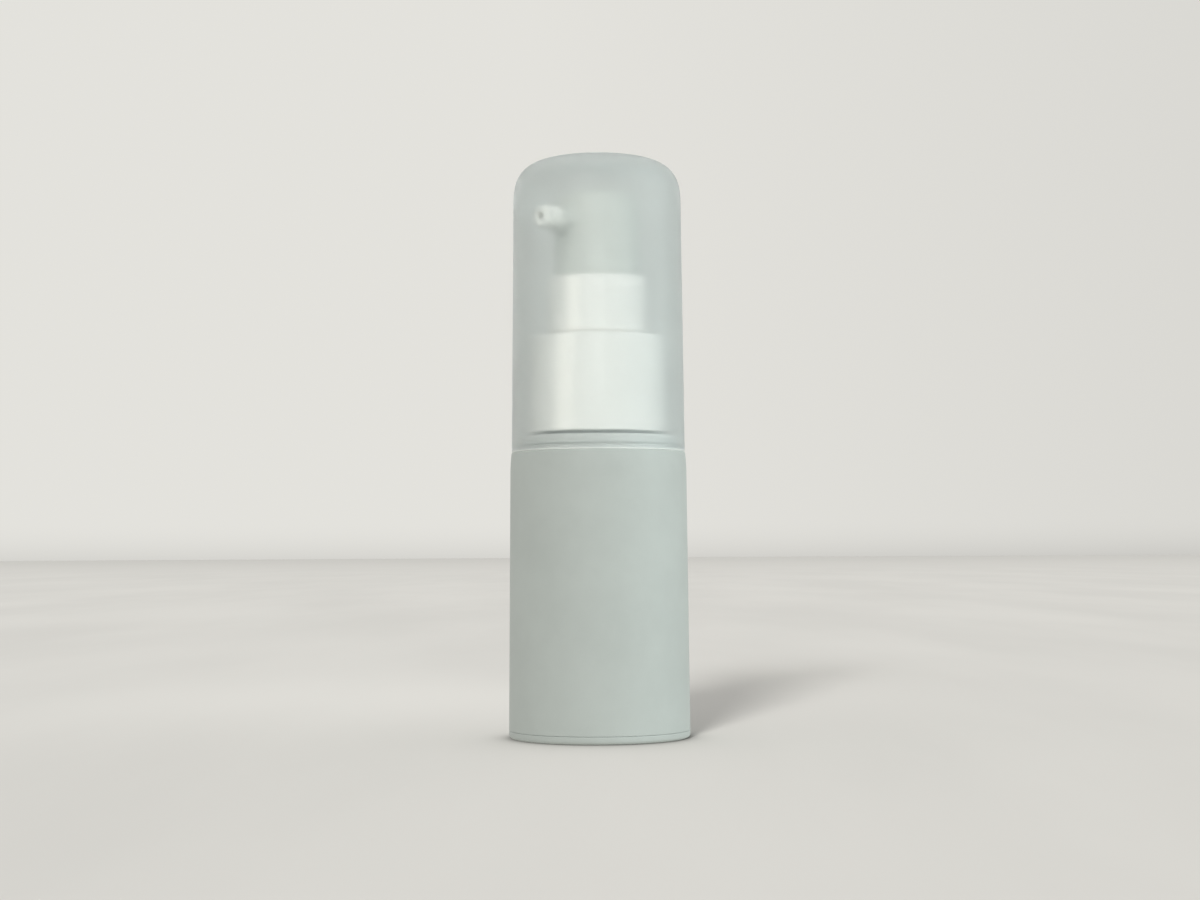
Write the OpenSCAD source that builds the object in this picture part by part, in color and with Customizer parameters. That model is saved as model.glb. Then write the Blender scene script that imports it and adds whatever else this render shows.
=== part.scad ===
// Airless pump bottle: a bottle with a follower piston, a pump engine under a two-step
// collar, a push button with a side spout, and a domed over-cap.
// +Z is up, the foot stands at z = 0, and the spout points along -Y.

/* [Bottle] */
// Outer diameter of the bottle at its foot
body_d = 34.5; // [33.5:0.1:38]
// Height of the shoulder, where the cap's edge rests
shoulder_z = 54.2; // [45:0.1:80]
// Draft of the bottle's side in degrees
body_draft = 0.48; // [0.2:0.02:0.8]
// Wall of the bottle at its foot
body_wall = 1.95; // [1.6:0.05:2.6]
// Wall of the shoulder and of the seat band
shoulder_wall = 1.8; // [1.4:0.1:2.2]
// How far the side curves in under the shoulder
shoulder_ease = 0.22; // [0.1:0.02:0.4]
// Height over which the side curves in
shoulder_ease_h = 3.6; // [2:0.2:6]
// Height of the seat band that the cap grips
seat_h = 3.0; // [2.6:0.1:5]
// Depth of the groove under the seat band's bead
seat_groove = 0.35; // [0.2:0.05:0.5]
// Diameter of the neck under its thread
neck_d = 19.2; // [18:0.1:20]
// Height of the neck above the seat band
neck_h = 14.8; // [12:0.1:20]
// Wall of the neck
neck_wall = 1.4; // [1.1:0.1:1.8]

/* [Base cap] */
// Thickness of the base disc that shows as the foot
base_t = 1.5; // [1.2:0.1:2.5]
// Rounding of the foot's lower edge
foot_round = 1.2; // [0.4:0.1:2]
// Height of the skirt that plugs the bore
base_skirt_h = 3.6; // [3:0.1:6]
// Wall of the base cap's skirt
base_skirt_wall = 1.3; // [1:0.1:2]
// Diameter of the vent that lets air in under the follower
vent_d = 1.6; // [1:0.1:3]
// Depth of the hollow under the foot, which keeps the vent open
foot_hollow = 0.4; // [0.2:0.1:0.7]
// Width of the ring that the bottle stands on
foot_ring_w = 2.6; // [2:0.1:5]
// Number of ribs in the base cap
base_ribs = 6; // [4:1:10]

/* [Follower] */
// Height of the follower from lip to lip
follower_h = 7.0; // [6:0.1:10]
// Wall of the follower
follower_wall = 1.1; // [0.8:0.1:1.3]

/* [Neck thread] */
// Rise of the closure for each turn
thread_pitch = 2.5; // [2:0.1:3]
// Turns from tight to free
thread_turns = 1.5; // [1:0.1:1.7]
// Radial room between the neck and the closure, which the thread fills
thread_room = 1.0; // [0.9:0.1:1.3]

/* [Closure and sleeve] */
// Wall of the screw closure
closure_wall = 0.85; // [0.7:0.05:1.2]
// Thickness of the closure's top plate
plate_t = 1.2; // [1:0.1:2]
// Number of grip ribs between the closure and its sleeve
closure_ribs = 18; // [12:1:30]
// Wall of the sleeve at the collar's top and round the chimney
sleeve_wall = 0.9; // [0.7:0.05:1.2]
// How much wider the collar is at its foot, per side
collar_flare = 0.45; // [0:0.05:0.8]
// Height of the chimney above the collar
chimney_h = 11.3; // [9:0.1:14]
// Gap between the seat band and the sleeve's foot
sleeve_gap = 0.7; // [0.4:0.1:1.2]

/* [Pump] */
// Travel of the button
stroke = 4.3; // [3.5:0.1:5]
// Bore of the pump chamber
chamber_d = 8.0; // [7.6:0.1:8.6]
// Wall of the pump housing
housing_wall = 1.0; // [0.8:0.1:1.3]
// Thickness of the neck gasket
gasket_t = 1.0; // [0.8:0.1:1.5]
// Thickness of the housing's flange
flange_t = 1.2; // [1:0.1:1.6]
// Depth of the seal ring that plugs the neck
seal_ring_h = 3.0; // [2:0.1:4]
// Outer diameter of the stem
stem_d = 4.4; // [4.2:0.1:4.6]
// Bore of the stem
stem_bore_d = 2.4; // [2:0.1:2.6]
// Free travel of the piston on the stem, which opens the outlet
free_travel = 0.8; // [0.5:0.1:1.2]
// Height of the pump piston from lip to lip
piston_h = 5.3; // [5:0.1:7]
// Diameter of the inlet ball
ball_d = 3.0; // [2.6:0.1:3.1]
// Lift of the inlet ball
ball_lift = 0.8; // [0.5:0.1:1.2]
// Wire of the return spring
wire_d = 0.6; // [0.5:0.05:0.65]
// Turns of the return spring
spring_turns = 5; // [4:0.5:5.5]
// Thickness of the guide's flange, on which the spring stands
guide_flange_t = 1.0; // [0.8:0.1:1.5]
// Height of the stem guide above its flange
guide_h = 2.7; // [2:0.1:4]

/* [Button] */
// Diameter of the button
button_d = 16.3; // [15.8:0.1:17]
// Height of the button from its skirt to its crown
button_h = 22.5; // [21:0.1:26]
// Wall of the button
button_wall = 1.1; // [0.9:0.1:1.4]
// Height of the button's domed edge
button_dome_h = 3.4; // [2:0.1:4.5]
// Distance of the spout's axis below the crown
spout_drop = 6.2; // [5.5:0.1:7]
// Outer diameter of the spout's barrel
barrel_d = 5.4; // [5:0.1:6]
// How far the barrel stands out of the button
barrel_out = 2.1; // [1.5:0.1:3]
// Outer diameter of the nozzle's tip
nozzle_d = 4.4; // [4:0.1:4.8]
// Orifice of the nozzle
orifice_d = 1.5; // [1:0.1:1.8]
// Depth of the stem's socket in the button
socket_h = 6.0; // [5:0.1:7]

/* [Over-cap] */
// Wall of the over-cap
cap_wall = 1.2; // [1:0.1:1.4]
// Draft of the over-cap's side in degrees
cap_draft = 0.55; // [0.2:0.05:0.7]
// Height of the dome
dome_h = 11.3; // [9:0.1:13]
// Squareness of the dome, 2 for an ellipse
dome_square = 3.84; // [3:0.02:4.2]
// Room over the button when the closure is unscrewed under the cap
cap_room = 1.25; // [0.8:0.05:2]
// How far the grip pips stand in from the cap's wall
pip_h = 0.27; // [0.2:0.01:0.35]
// Number of grip pips
pip_count = 6; // [3:1:8]

/* [Clearances] */
// Radial clearance of pieces that run in each other
run_gap = 0.05; // [0.03:0.01:0.08]
// Radial clearance of pieces that are pressed together
fit_gap = 0.02; // [0.01:0.01:0.03]
// Clearance between pieces that only stand near each other
rest_gap = 0.3; // [0.2:0.05:0.4]
// Gap round the button in the chimney
button_gap = 0.45; // [0.35:0.05:0.6]
// Gap between the nozzle's tip and the cap
tip_gap = 0.8; // [0.6:0.05:1]

/* [Hidden] */
$fn = 96;
sage = [0.66, 0.70, 0.66];
white = [0.92, 0.93, 0.91];
milky = [0.86, 0.87, 0.84];
steel = [0.70, 0.71, 0.72];
eps = 0.01;

// Radii and heights of the bottle
bore_r = body_d / 2 - body_wall;
neck_r = neck_d / 2;
neck_bore_r = neck_r - neck_wall;
edge_round = 0.25;
shoulder_r = body_r(shoulder_z) - shoulder_ease;
bore_top = shoulder_z - shoulder_wall;
bore_corner = 0.5;

// Edge of the over-cap, and the seat band inside it
cap_edge_r = shoulder_r - 0.05;
cap_mouth_r = cap_edge_r - cap_wall;
seat_top = shoulder_z + seat_h;
seat_r = cap_mouth_r - pip_h - run_gap;
seat_groove_h = seat_h * 0.47;
seat_hollow_r = seat_r - shoulder_wall;
seat_hollow_top = seat_top - shoulder_wall;
pip_z = shoulder_z + seat_groove_h - 0.9;
pip_arc = 14;

// Stack on the neck
neck_top = seat_top + neck_h;
gasket_top = neck_top + gasket_t;
flange_top = gasket_top + flange_t;
plate_top = flange_top + plate_t;
collar_top = plate_top + sleeve_wall;
chimney_top = collar_top + chimney_h;
sleeve_z = seat_top + sleeve_gap;
closure_z = sleeve_z + 0.4;

// Radii of the closure and its sleeve
closure_bore_r = neck_r + thread_room;
closure_r = closure_bore_r + closure_wall;
grip_rib = 0.25;
sleeve_bore_r = closure_r + grip_rib + fit_gap;
collar_r = sleeve_bore_r + sleeve_wall;
chimney_bore_r = button_d / 2 + button_gap;
chimney_r = chimney_bore_r + sleeve_wall;
unscrew_rise = thread_pitch * thread_turns;

// Stem guide on the housing
stem_r = stem_d / 2;
stem_bore_r = stem_bore_d / 2;
guide_plug_h = 3.0;
chamber_top = flange_top - guide_plug_h;
hub_r = 6.5;
hub_gap = 0.08;
hub_top = plate_top + 0.1;
guide_flange_r = hub_r + 1.1;
guide_flange_top = hub_top + guide_flange_t;
guide_rim = 0.4;
guide_top = guide_flange_top + guide_h;
guide_r = stem_r + 1.0;

// Spring and button
spring_r = guide_r + 2 * rest_gap + wire_d / 2;
spring_foot_r = spring_r + wire_d / 2 + 0.4;
button_foot = guide_flange_top + stroke + 1.3;
button_top = button_foot + button_h;
post_z = guide_top + stroke + 1.1;
post_r = stem_r + 1.2;
stem_top = post_z + socket_h;

// Spout
spout_z = button_top - spout_drop;
barrel_r = barrel_d / 2;
barrel_end = button_d / 2 + barrel_out;
channel_r = barrel_r - 1.1;
nozzle_shank_h = 3.0;
nozzle_reach = cap_r(spout_z) - cap_wall - tip_gap;
nozzle_r = nozzle_d / 2;
nozzle_round = 0.7;

// Piston and its valve
chamber_r = chamber_d / 2;
housing_r = chamber_r + housing_wall;
piston_top = chamber_top - free_travel - rest_gap;
piston_z = piston_top - piston_h;
piston_r = chamber_r - run_gap;
piston_step_z = piston_z + 2.0;
piston_bore_r = stem_bore_r + 0.55;
piston_seat = 0.45;
stem_foot = piston_step_z + free_travel;
plug_shank_r = stem_bore_r - fit_gap;
plug_way = 1.1;
plug_head_r = chamber_r - plug_way;
plug_head_t = 0.6;
plug_cone_z = piston_z - (plug_head_r - piston_bore_r - piston_seat) - run_gap;
plug_z = plug_cone_z - plug_head_t;
plug_bar = 0.9;
plug_grip_h = 3.0;

// Inlet valve
ball_r = ball_d / 2;
chamber_floor = plug_z - stroke - rest_gap;
nub_t = 0.6;
nub_r = ball_r - 0.3;
well_r = ball_r + 0.4;
nub_z = chamber_floor - nub_t;
ball_z = nub_z - run_gap - sqrt(ball_r * ball_r - nub_r * nub_r) - ball_lift;
cone_top = ball_z - (ball_r + run_gap) * sqrt(2) + well_r;
inlet_r = 0.9;
cone_foot = cone_top - (well_r - inlet_r);
inlet_tube_r = inlet_r + 1.6;
housing_z = cone_foot - 1.7;
housing_taper_z = housing_z + 1.6;

// Base cap
base_skirt_r = bore_r - fit_gap;
base_bead = 0.15;
base_bead_z = base_t + base_skirt_h * 0.62;

// Follower, whose crown fills the seat band at the top of its travel
follower_r = bore_r - run_gap;
follower_z = base_t + base_skirt_h + rest_gap;
follower_top = follower_z + follower_h;
follower_rise = bore_top - bore_corner - eps - follower_top;
follower_crown_r = seat_hollow_r - rest_gap - 0.2;
follower_crown_z = seat_hollow_top - rest_gap - follower_rise;
follower_cup_r = housing_r + 1.2;
follower_cup_z = housing_z - 4 * rest_gap - follower_rise;

// Dome of the over-cap
cap_top = button_top + unscrew_rise + cap_room + cap_wall;
dome_z = cap_top - dome_h;

// Radius of the bottle's side at height z
function body_r(z) = body_d / 2 - z * tan(body_draft);

// Radius of the over-cap's side at height z
function cap_r(z) = cap_edge_r - (z - shoulder_z) * tan(cap_draft);

// Points along an arc, from angle a to angle b
function arc(x, y, r, a, b, steps = 4) =
    [for (i = [0:steps]) let (t = a + (b - a) * i / steps) [x + r * cos(t), y + r * sin(t)]];

// Points of a squared ellipse's quarter, from its side up to its crown on the axis, closer
// together where it turns
function dome(z, a, b, square, steps = 14) =
    [for (i = [0:steps])
        let (u = 2 * i / steps - 1, t = 45 + 45 * sign(u) * pow(abs(u), 1.35),
             s = pow(pow(cos(t), square) + pow(sin(t), square), -1 / square))
        [i == steps ? 0 : a * cos(t) * s, z + b * sin(t) * s]];

// The same points from the last to the first
function backwards(list) = [for (i = [len(list) - 1:-1:0]) list[i]];

// The drafted side, curving in towards the shoulder
function eased_side(steps = 5) =
    [for (i = [0:steps])
        let (t = i / steps, z = shoulder_z - shoulder_ease_h + t * (shoulder_ease_h - edge_round))
        [body_r(z) - shoulder_ease * t * t, z]];

// Centre line of the spring: closed turns at both ends, open turns between
function spring_z(t, low, high) =
    let (s = min(max((t - 0.12) / 0.76, 0), 1), closed = wire_d * (1 + eps))
    low + closed * 2 * min(t, 0.12) + closed * 2 * max(t - 0.88, 0) + (high - low - closed * 0.48) * s;

module bottle_body() {
    color(sage)
    rotate_extrude()
    polygon(concat(
        [[bore_r, base_t], [body_r(base_t) - 0.1, base_t], [body_r(base_t + 0.1), base_t + 0.1]],
        eased_side(),
        arc(shoulder_r - edge_round, shoulder_z - edge_round, edge_round, 20, 90, 3),
        // seat band with its groove and bead
        [[seat_r - seat_groove, shoulder_z],
         [seat_r - seat_groove, shoulder_z + seat_groove_h - 0.3],
         [seat_r, shoulder_z + seat_groove_h]],
        arc(seat_r - 0.5, seat_top - 0.5, 0.5, 0, 90),
        // neck
        [[neck_r, seat_top], [neck_r, neck_top - 0.5], [neck_r - 0.5, neck_top],
         [neck_bore_r, neck_top], [neck_bore_r, seat_hollow_top],
         // inside of the seat band and the shoulder
         [seat_hollow_r - 0.5, seat_hollow_top], [seat_hollow_r, seat_hollow_top - 0.5],
         [seat_hollow_r, bore_top],
         [bore_r - bore_corner, bore_top], [bore_r, bore_top - bore_corner],
         // snap groove for the base cap
         [bore_r, base_bead_z + 0.7], [bore_r + base_bead, base_bead_z + 0.35],
         [bore_r + base_bead, base_bead_z - 0.35], [bore_r, base_bead_z - 0.7]]
    ));
}

module base_cap() {
    round = min(foot_round, base_t - 0.1);
    rim_r = body_r(base_t);
    hollow_r = rim_r - round - foot_ring_w;
    skirt_in = base_skirt_r - base_skirt_wall;
    skirt_top = base_t + base_skirt_h;
    hub = vent_d / 2 + 1.2;
    color(sage)
    difference() {
        union() {
            rotate_extrude()
            polygon(concat(
                [[0, foot_hollow], [hollow_r, foot_hollow], [hollow_r + foot_hollow, 0]],
                arc(rim_r - round, round, round, -90, 0),
                [[rim_r, base_t - 0.1], [rim_r - 0.1, base_t],
                 [base_skirt_r, base_t],
                 [base_skirt_r, base_bead_z - 0.45],
                 [base_skirt_r + base_bead, base_bead_z - 0.2],
                 [base_skirt_r + base_bead, base_bead_z + 0.2],
                 [base_skirt_r, base_bead_z + 0.45],
                 [base_skirt_r, skirt_top - 0.4], [base_skirt_r - 0.4, skirt_top],
                 [skirt_in, skirt_top], [skirt_in, base_t], [0, base_t]]
            ));
            translate([0, 0, base_t - eps]) cylinder(r = hub, h = base_skirt_h * 0.6);
            for (i = [0:base_ribs - 1])
                rotate(i * 360 / base_ribs)
                translate([hub - 0.3, -0.45, base_t - eps])
                cube([skirt_in - hub + 0.6, 0.9, base_skirt_h * 0.5]);
        }
        translate([0, 0, -1]) cylinder(d = vent_d, h = skirt_top + 2);
    }
}

module follower_piston() {
    side_r = follower_r - 0.55;
    well_z = follower_top - 2.0;
    lip_in = follower_r - 1.0;
    inner_r = side_r - follower_wall;
    roof_z = well_z - follower_wall;
    crown_r = follower_crown_r - follower_wall;
    crown_z = follower_crown_z - follower_wall;
    cup_r = follower_cup_r + follower_wall;
    cup_z = follower_cup_z - follower_wall;
    color(milky)
    rotate_extrude()
    polygon([
        // outside, with a sealing lip at each end
        [inner_r, follower_z], [follower_r, follower_z], [follower_r, follower_z + 0.7],
        [side_r, follower_z + 1.5], [side_r, follower_top - 1.5],
        [follower_r, follower_top - 0.7], [follower_r, follower_top],
        [lip_in, follower_top], [lip_in - 0.3, well_z],
        // crown that fills the seat band, with a cup for the pump's inlet
        [follower_crown_r, well_z], [follower_crown_r, follower_crown_z - 0.5],
        [follower_crown_r - 0.5, follower_crown_z],
        [follower_cup_r, follower_crown_z], [follower_cup_r, follower_cup_z],
        [0, follower_cup_z],
        // hollow underside
        [0, cup_z], [cup_r, cup_z], [cup_r, crown_z], [crown_r, crown_z],
        [crown_r, roof_z], [inner_r, roof_z]
    ]);
}

module neck_gasket() {
    color("white")
    difference() {
        translate([0, 0, neck_top]) cylinder(r = neck_r - 0.1, h = gasket_t);
        translate([0, 0, neck_top - 1]) cylinder(r = neck_bore_r + run_gap, h = gasket_t + 2);
    }
}

module pump_housing() {
    ring_r = neck_bore_r - run_gap;
    color(milky)
    union() {
        rotate_extrude()
        polygon([
            // outside, with the inlet tube, the seal ring and the flange
            [inlet_r, housing_z], [inlet_tube_r, housing_z], [inlet_tube_r, housing_taper_z],
            [housing_r, housing_taper_z + housing_r - inlet_tube_r],
            [housing_r, gasket_top], [ring_r - 0.9, gasket_top],
            [ring_r - 0.9, gasket_top - seal_ring_h], [ring_r - 0.4, gasket_top - seal_ring_h],
            [ring_r, gasket_top - seal_ring_h + 0.8], [ring_r, gasket_top],
            [neck_r + 0.6, gasket_top], [neck_r + 0.6, flange_top],
            // chamber, ball well, valve seat and inlet
            [chamber_r, flange_top], [chamber_r, chamber_floor], [well_r, chamber_floor],
            [well_r, cone_top], [inlet_r, cone_foot]
        ]);
        // four nubs keep the ball in its well and leave way round it
        difference() {
            translate([0, 0, nub_z]) cylinder(r = well_r + 0.2, h = nub_t);
            translate([0, 0, nub_z - 1]) cylinder(r = nub_r, h = nub_t + 2);
            for (a = [0, 90])
                rotate(a)
                translate([-well_r - 1, -0.8, nub_z - 1])
                cube([2 * well_r + 2, 1.6, nub_t + 2]);
        }
    }
}

module inlet_ball() {
    color(steel)
    translate([0, 0, ball_z])
    sphere(r = ball_r);
}

module housing_cap() {
    color(white)
    rotate_extrude()
    polygon([
        [stem_r + run_gap, chamber_top], [chamber_r - fit_gap - 0.3, chamber_top],
        [chamber_r - fit_gap, chamber_top + 0.5], [chamber_r - fit_gap, flange_top],
        // hub on which the closure turns
        [hub_r, flange_top], [hub_r, hub_top],
        [guide_flange_r - 0.2, hub_top], [guide_flange_r, hub_top + 0.2],
        // seat of the spring
        [guide_flange_r, guide_flange_top + guide_rim],
        [spring_foot_r + 0.2, guide_flange_top + guide_rim],
        [spring_foot_r + 0.2, guide_flange_top], [guide_r, guide_flange_top],
        [guide_r, guide_top - 0.3], [guide_r - 0.3, guide_top],
        [stem_r + run_gap + 0.2, guide_top], [stem_r + run_gap, guide_top - 0.3]
    ]);
}

module return_spring() {
    sides = 8;
    rings = ceil(spring_turns * 20);
    low = guide_flange_top + wire_d / 2 + run_gap;
    high = post_z - wire_d / 2 - run_gap;
    points = [for (i = [0:rings]) let (t = i / rings, a = 360 * spring_turns * t)
        for (k = [0:sides - 1]) let (b = 360 * k / sides)
        [(spring_r + wire_d / 2 * cos(b)) * cos(a), (spring_r + wire_d / 2 * cos(b)) * sin(a),
         spring_z(t, low, high) + wire_d / 2 * sin(b)]];
    walls = [for (i = [0:rings - 1], k = [0:sides - 1])
        let (n = (k + 1) % sides, p = i * sides, q = p + sides)
        [p + k, q + k, q + n, p + n]];
    ends = [[for (k = [0:sides - 1]) k], [for (k = [sides - 1:-1:0]) rings * sides + k]];
    color(steel)
    polyhedron(points, concat(walls, ends), convexity = 8);
}

module pump_stem() {
    color(milky)
    rotate_extrude()
    polygon([
        [stem_bore_r, stem_foot], [stem_r, stem_foot], [stem_r, stem_top - 0.4],
        [stem_r - 0.4, stem_top], [stem_bore_r, stem_top]
    ]);
}

module stem_plug() {
    shank_h = stem_foot - plug_cone_z + plug_grip_h;
    color(white)
    union() {
        rotate_extrude()
        polygon([
            [0, plug_z], [plug_head_r - 0.2, plug_z], [plug_head_r, plug_z + 0.2],
            [plug_head_r, plug_cone_z],
            [plug_bar, plug_cone_z + plug_head_r - plug_bar],
            [0, plug_cone_z + plug_head_r - plug_bar]
        ]);
        // cross-shaped shank, which grips the stem's bore and lets the product by
        intersection() {
            translate([0, 0, plug_cone_z]) cylinder(r = plug_shank_r, h = shank_h);
            union() {
                for (a = [0, 90])
                    rotate(a)
                    translate([-plug_shank_r - 1, -plug_bar / 2, plug_cone_z])
                    cube([2 * plug_shank_r + 2, plug_bar, shank_h + 1]);
            }
        }
    }
}

module pump_piston() {
    hub = stem_r + 0.75;
    color(milky)
    rotate_extrude()
    polygon([
        // seat that the plug's cone closes, then the lower lip
        [piston_bore_r + piston_seat, piston_z], [hub, piston_z], [hub, piston_z + 1.6],
        [piston_r - 0.65, piston_z + 1.6], [piston_r - 0.45, piston_z], [piston_r, piston_z],
        [piston_r, piston_z + 0.5], [piston_r - 0.2, piston_z + 1.2],
        // upper lip and the collar round the stem
        [piston_r - 0.2, piston_top - 1.2], [piston_r, piston_top - 0.5],
        [piston_r, piston_top], [piston_r - 0.45, piston_top],
        [piston_r - 0.65, piston_top - 1.6], [hub, piston_top - 1.6],
        [hub, piston_top - 0.2], [stem_r + run_gap, piston_top - 0.2],
        [stem_r + run_gap, piston_step_z], [piston_bore_r, piston_step_z],
        [piston_bore_r, piston_z + piston_seat]
    ]);
}

module screw_closure() {
    color(white)
    union() {
        rotate_extrude()
        polygon([
            [closure_bore_r + 0.3, closure_z], [closure_r, closure_z],
            [closure_r, plate_top - 0.4], [closure_r - 0.4, plate_top],
            [hub_r + hub_gap, plate_top], [hub_r + hub_gap, flange_top],
            [closure_bore_r, flange_top], [closure_bore_r, closure_z + 0.3]
        ]);
        // ribs that drive the closure from its sleeve
        for (i = [0:closure_ribs - 1])
            rotate(i * 360 / closure_ribs)
            translate([closure_r - 0.3, -0.4, closure_z + 0.6])
            cube([grip_rib + 0.25, 0.8, plate_top - closure_z - 1.2]);
    }
}

module collar_sleeve() {
    rim = sleeve_wall / 2;
    color(white)
    rotate_extrude()
    polygon(concat(
        [[sleeve_bore_r, sleeve_z], [collar_r + collar_flare - 0.25, sleeve_z]],
        [[collar_r + collar_flare, sleeve_z + 0.25]],
        arc(collar_r - 0.45, collar_top - 0.45, 0.45, 0, 90),
        arc(chimney_r + 0.25, collar_top + 0.25, 0.25, -90, -180, 2),
        arc(chimney_r - rim, chimney_top - rim, rim, 0, 180, 8),
        [[chimney_bore_r, plate_top], [sleeve_bore_r, plate_top]]
    ));
}

module actuator() {
    r = button_d / 2;
    in_r = r - button_wall;
    top_draft = 0.08;
    edge_z = button_top - button_dome_h;
    color(sage)
    difference() {
        union() {
            // shell
            rotate_extrude()
            polygon(concat(
                [[in_r + 0.3, button_foot], [r - 0.2, button_foot], [r, button_foot + 0.2]],
                dome(edge_z, r - top_draft, button_dome_h, 2.5, 10),
                backwards(dome(edge_z, in_r - top_draft, button_dome_h - button_wall, 2.5, 8)),
                [[in_r, button_foot + 0.3]]
            ));
            // post that holds the stem, with its foot on the spring
            translate([0, 0, post_z]) cylinder(r = post_r, h = button_top - button_wall / 2 - post_z);
            translate([0, 0, post_z]) cylinder(r = spring_foot_r, h = 1);
            translate([0, 0, post_z + 1])
            cylinder(r1 = spring_foot_r, r2 = post_r, h = spring_foot_r - post_r);
            // barrel of the spout
            translate([0, 0, spout_z])
            rotate([90, 0, 0])
            rotate_extrude()
            polygon([[0, 0], [barrel_r, 0], [barrel_r, barrel_end - 0.4],
                     [barrel_r - 0.4, barrel_end], [0, barrel_end]]);
        }
        // socket, riser and channel
        translate([0, 0, post_z - 1]) cylinder(r = stem_r + fit_gap, h = socket_h + 1 + eps);
        translate([0, 0, post_z]) cylinder(r = stem_bore_r, h = spout_z - post_z);
        translate([0, 0, spout_z]) rotate([90, 0, 0]) cylinder(r = channel_r, h = barrel_end + 1);
    }
}

module nozzle_insert() {
    color(white)
    translate([0, 0, spout_z])
    rotate([90, 0, 0])
    rotate_extrude()
    polygon(concat(
        [[orifice_d / 2, barrel_end - nozzle_shank_h],
         [channel_r - fit_gap - 0.2, barrel_end - nozzle_shank_h],
         [channel_r - fit_gap, barrel_end - nozzle_shank_h + 0.3],
         [channel_r - fit_gap, barrel_end], [nozzle_r, barrel_end]],
        arc(nozzle_r - nozzle_round, nozzle_reach - nozzle_round, nozzle_round, 0, 90),
        [[orifice_d / 2 + 0.2, nozzle_reach], [orifice_d / 2, nozzle_reach - 0.3]]
    ));
}

module over_cap() {
    pip_r = cap_mouth_r - pip_h;
    color("white", 0.6)
    union() {
        rotate_extrude()
        polygon(concat(
            [[cap_mouth_r + 0.2, shoulder_z]],
            arc(cap_edge_r - edge_round, shoulder_z + edge_round, edge_round, -90, 0, 3),
            dome(dome_z, cap_r(dome_z), dome_h, dome_square),
            backwards(dome(dome_z, cap_r(dome_z) - cap_wall, dome_h - cap_wall, dome_square)),
            [[cap_mouth_r, shoulder_z + 0.2]]
        ));
        // pips that snap under the seat band's bead
        for (i = [0:pip_count - 1])
            rotate((i + 0.5) * 360 / pip_count - pip_arc / 2)
            rotate_extrude(angle = pip_arc)
            polygon([[cap_mouth_r + 0.1, pip_z], [pip_r, pip_z + 0.3],
                     [pip_r, pip_z + 0.6], [cap_mouth_r + 0.1, pip_z + 0.9]]);
    }
}

over_cap();
actuator();
nozzle_insert();
collar_sleeve();
screw_closure();
neck_gasket();
pump_housing();
housing_cap();
return_spring();
pump_stem();
stem_plug();
pump_piston();
inlet_ball();
bottle_body();
follower_piston();
base_cap();
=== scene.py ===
# %% [markdown]
# # An airless pump bottle in Blender
#
# The real object is a stack of turned-looking mouldings: a matte bottle, a white two-step collar,
# a push button with a short spout, and a frosted over-cap through which the rest is seen. Nearly
# every piece is round, so most of them are outlines turned about the axis, with small rounded
# edges, because it is the rounded edges that catch light and make plastic look moulded.
#
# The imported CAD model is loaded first, as a fixed frame. Each piece below is made in the same
# place and size as its CAD node, stands for that node, and moves with the same body.

# %% Load the fixed frame
import math

import bmesh
import bpy
from mathutils import Matrix, Vector


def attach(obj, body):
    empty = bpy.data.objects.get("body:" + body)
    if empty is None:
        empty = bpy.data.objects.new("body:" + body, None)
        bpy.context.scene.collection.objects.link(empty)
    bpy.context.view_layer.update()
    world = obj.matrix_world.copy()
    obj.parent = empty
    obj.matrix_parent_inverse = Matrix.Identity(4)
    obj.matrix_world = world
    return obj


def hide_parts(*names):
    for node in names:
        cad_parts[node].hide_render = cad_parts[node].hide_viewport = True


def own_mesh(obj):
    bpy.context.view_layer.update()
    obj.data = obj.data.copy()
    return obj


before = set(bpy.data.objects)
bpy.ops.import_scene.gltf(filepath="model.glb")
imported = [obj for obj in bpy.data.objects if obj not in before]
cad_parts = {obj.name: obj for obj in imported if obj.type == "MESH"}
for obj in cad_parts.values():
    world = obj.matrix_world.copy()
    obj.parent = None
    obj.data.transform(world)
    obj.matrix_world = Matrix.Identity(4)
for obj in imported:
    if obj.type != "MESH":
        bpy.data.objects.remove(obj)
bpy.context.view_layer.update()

# %% [markdown]
# ## Sizes
#
# All sizes are in millimetres, as on a mould drawing, and become metres only when a mesh is made.
# Heights are measured from the foot.

# %% Sizes of the bottle and the cap
MM = 0.001

BODY_R, BODY_DRAFT, BORE_R = 17.25, math.radians(0.48), 15.3
SHOULDER_Z, SHOULDER_EASE, EASE_H, EDGE_ROUND = 54.2, 0.22, 3.6, 0.25
SEAT_R, SEAT_TOP, SEAT_GROOVE, SEAT_BEAD_Z = 15.006, 57.2, 0.35, 55.61
SEAT_HOLLOW_R, SEAT_HOLLOW_TOP, BORE_TOP = 13.206, 55.4, 52.4
NECK_R, NECK_BORE_R, NECK_TOP = 9.6, 8.2, 72.0
BASE_T, FOOT_ROUND, FOOT_RING, FOOT_HOLLOW = 1.5, 1.2, 2.6, 0.4
SKIRT_R, SKIRT_WALL, SKIRT_TOP, SNAP_Z, SNAP_H, VENT_R = 15.28, 1.3, 5.1, 3.732, 0.15, 0.8

CAP_EDGE_R, CAP_WALL, CAP_DRAFT = 16.526, 1.2, math.radians(0.55)
DOME_Z, DOME_H, DOME_POWER = 99.49, 11.3, 3.84
PIP_R, PIP_Z, PIP_H, PIP_ARC, PIPS = 15.056, 54.71, 0.9, math.radians(14), 6


def body_r(z):
    """Radius of the bottle's drafted side at height z."""
    return BODY_R - z * math.tan(BODY_DRAFT)


def cap_r(z):
    """Radius of the over-cap's drafted side at height z."""
    return CAP_EDGE_R - (z - SHOULDER_Z) * math.tan(CAP_DRAFT)


print(f"shoulder radius {body_r(SHOULDER_Z) - SHOULDER_EASE:.3f} mm, cap edge {CAP_EDGE_R} mm")

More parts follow.
